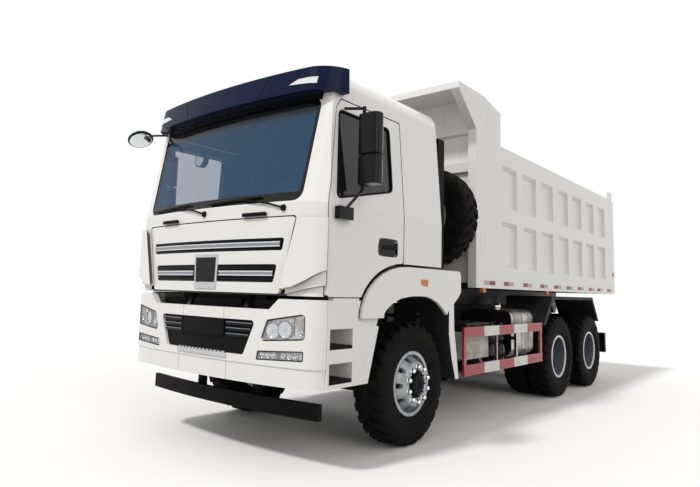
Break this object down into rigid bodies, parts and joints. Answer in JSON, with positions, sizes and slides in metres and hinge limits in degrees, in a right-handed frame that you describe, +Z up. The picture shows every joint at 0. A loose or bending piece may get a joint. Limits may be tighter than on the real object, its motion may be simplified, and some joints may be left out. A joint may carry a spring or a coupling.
{
  "type": "three-axle tipper truck",
  "caption": "White three-axle tipper truck with a tilting cab, opening doors and front lid, a hoisted load bed with hinged tailgate, red side guards and a spare wheel behind the cab",
  "frame": {"origin": "centre of the bounding box on the ground under the truck", "axes": "forward is -Y, the truck's left is +X, up is +Z"},
  "size_m": [3, 8.2348, 3.68],
  "materials": {
    "chassis_grey": "satin dark grey chassis paint",
    "matt_black": "matt black",
    "tank_silver": "dull rolled sheet",
    "box_grey": "satin light grey",
    "guard_red": "gloss red, dusty",
    "fender_grey": "matt dark grey",
    "white_paint": "gloss white, lightly dusty",
    "lamp_glass": "clear lens over bright bowls",
    "tail_red": "gloss red",
    "tyre_rubber": "worn black rubber",
    "rim_silver": "satin silver",
    "rim_dark": "satin blue-grey, dusty",
    "tinted_glass": "dark tinted",
    "visor_navy": "gloss dark navy",
    "cab_grey": "matt grey trim",
    "hoist_paint": "satin dark grey",
    "hoist_chrome": "hard chrome"
  },
  "bodies": {
    "chassis": {"frame_rails": "chassis_grey", "bed_subframe": "chassis_grey", "front_axle": "chassis_grey", "rear_axles": "chassis_grey", "prop_shafts": "matt_black", "leaf_springs": "matt_black", "engine": "chassis_grey", "fuel_tank": "tank_silver", "battery_box": "box_grey", "air_tanks": "matt_black", "side_guards": "guard_red", "rear_fenders": "fender_grey", "front_fenders": "white_paint", "steps": "white_paint", "step_treads": "matt_black", "bumper": "white_paint", "bumper_grille": "matt_black", "headlamps": "lamp_glass", "underrun_bars": "matt_black", "tail_lamps": "tail_red", "spare_carrier": "white_paint", "spare_tyre": "tyre_rubber", "spare_rim": "rim_silver", "air_intake": "matt_black"},
    "knuckle_left": {"knuckle_left": "chassis_grey"},
    "knuckle_right": {"knuckle_right": "chassis_grey"},
    "tie_rod": {"tie_rod": "chassis_grey"},
    "wheel_front_left": {"tyre_front_left": "tyre_rubber", "rim_front_left": "rim_silver"},
    "wheel_front_right": {"tyre_front_right": "tyre_rubber", "rim_front_right": "rim_silver"},
    "wheel_mid_left": {"tyres_mid_left": "tyre_rubber", "rims_mid_left": "rim_dark"},
    "wheel_mid_right": {"tyres_mid_right": "tyre_rubber", "rims_mid_right": "rim_dark"},
    "wheel_rear_left": {"tyres_rear_left": "tyre_rubber", "rims_rear_left": "rim_dark"},
    "wheel_rear_right": {"tyres_rear_right": "tyre_rubber", "rims_rear_right": "rim_dark"},
    "cab": {"cab_shell": "white_paint", "windshield": "tinted_glass", "sun_visor": "visor_navy", "cab_trim": "matt_black", "cab_interior": "cab_grey"},
    "door_left": {"door_left": "white_paint", "door_glass_left": "tinted_glass", "mirror_left": "matt_black"},
    "door_right": {"door_right": "white_paint", "door_glass_right": "tinted_glass", "mirror_right": "matt_black"},
    "front_lid": {"front_lid": "white_paint", "grille": "matt_black"},
    "bed": {"bed_floor": "white_paint", "bed_sides": "white_paint", "bed_headboard": "white_paint"},
    "tailgate": {"tailgate": "white_paint"},
    "hoist_tube": {"hoist_tube": "hoist_paint"},
    "hoist_stage_1": {"hoist_stage_1": "hoist_chrome"},
    "hoist_stage_2": {"hoist_stage_2": "hoist_chrome"},
    "hoist_stage_3": {"hoist_stage_3": "hoist_chrome"}
  },
  "joints": [
    {"name": "steer_left", "type": "hinge", "parent": "chassis", "child": "knuckle_left", "pos_m": [0.87, -2.5725, 0.5625], "axis": [0, 0, 1], "range_deg": [-35, 35]},
    {"name": "steer_right", "type": "hinge", "parent": "chassis", "child": "knuckle_right", "pos_m": [-0.87, -2.5725, 0.5625], "axis": [0, 0, 1], "range_deg": [-35, 35]},
    {"name": "track_rod", "type": "hinge", "parent": "knuckle_left", "child": "tie_rod", "pos_m": [0.87, -2.3425, 0.3975], "axis": [0, 0, 1], "range_deg": [-35, 35]},
    {"name": "spin_front_left", "type": "hinge", "parent": "knuckle_left", "child": "wheel_front_left", "pos_m": [1.03, -2.5725, 0.5625], "axis": [1, 0, 0], "continuous": true},
    {"name": "spin_front_right", "type": "hinge", "parent": "knuckle_right", "child": "wheel_front_right", "pos_m": [-1.03, -2.5725, 0.5625], "axis": [1, 0, 0], "continuous": true},
    {"name": "spin_mid_left", "type": "hinge", "parent": "chassis", "child": "wheel_mid_left", "pos_m": [0.915, 1.2025, 0.5625], "axis": [1, 0, 0], "continuous": true},
    {"name": "spin_mid_right", "type": "hinge", "parent": "chassis", "child": "wheel_mid_right", "pos_m": [-0.915, 1.2025, 0.5625], "axis": [1, 0, 0], "continuous": true},
    {"name": "spin_rear_left", "type": "hinge", "parent": "chassis", "child": "wheel_rear_left", "pos_m": [0.915, 2.5925, 0.5625], "axis": [1, 0, 0], "continuous": true},
    {"name": "spin_rear_right", "type": "hinge", "parent": "chassis", "child": "wheel_rear_right", "pos_m": [-0.915, 2.5925, 0.5625], "axis": [1, 0, 0], "continuous": true},
    {"name": "cab_tilt", "type": "hinge", "parent": "chassis", "child": "cab", "pos_m": [0, -3.9925, 1.19], "axis": [1, 0, 0], "range_deg": [0, 50]},
    {"name": "door_left_swing", "type": "hinge", "parent": "cab", "child": "door_left", "pos_m": [1.228, -3.8945, 2.15], "axis": [0, 0, -1], "range_deg": [0, 70]},
    {"name": "door_right_swing", "type": "hinge", "parent": "cab", "child": "door_right", "pos_m": [-1.228, -3.8945, 2.15], "axis": [0, 0, 1], "range_deg": [0, 70]},
    {"name": "lid_lift", "type": "hinge", "parent": "cab", "child": "front_lid", "pos_m": [0, -4.0965, 1.966], "axis": [-1, 0, 0], "range_deg": [0, 80]},
    {"name": "bed_tip", "type": "hinge", "parent": "chassis", "child": "bed", "pos_m": [0, 3.3075, 1.2], "axis": [-1, 0, 0], "range_deg": [0, 50]},
    {"name": "tailgate_swing", "type": "hinge", "parent": "bed", "child": "tailgate", "pos_m": [0, 4.0625, 3.27], "axis": [1, 0, 0], "range_deg": [0, 70]},
    {"name": "hoist_swing", "type": "hinge", "parent": "bed", "child": "hoist_tube", "pos_m": [0, -1.5525, 1.5], "axis": [1, 0, 0], "range_deg": [0, 25]},
    {"name": "hoist_slide_1", "type": "slide", "parent": "hoist_tube", "child": "hoist_stage_1", "axis": [0, 0, -1], "range_m": [0, 1.351]},
    {"name": "hoist_slide_2", "type": "slide", "parent": "hoist_stage_1", "child": "hoist_stage_2", "axis": [0, 0, -1], "range_m": [0, 1.351]},
    {"name": "hoist_slide_3", "type": "slide", "parent": "hoist_stage_2", "child": "hoist_stage_3", "axis": [0, 0, -1], "range_m": [0, 1.351]}
  ],
  "couplings": [
    {"joint": "steer_right", "follows": "steer_left", "ratio": 1},
    {"joint": "track_rod", "follows": "steer_left", "ratio": -1},
    {"joint": "hoist_swing", "follows": "bed_tip", "ratio": 0.5},
    {"joint": "hoist_slide_1", "follows": "bed_tip", "m_per_rad": 1.5476},
    {"joint": "hoist_slide_2", "follows": "bed_tip", "m_per_rad": 1.5476},
    {"joint": "hoist_slide_3", "follows": "bed_tip", "m_per_rad": 1.5476}
  ]
}
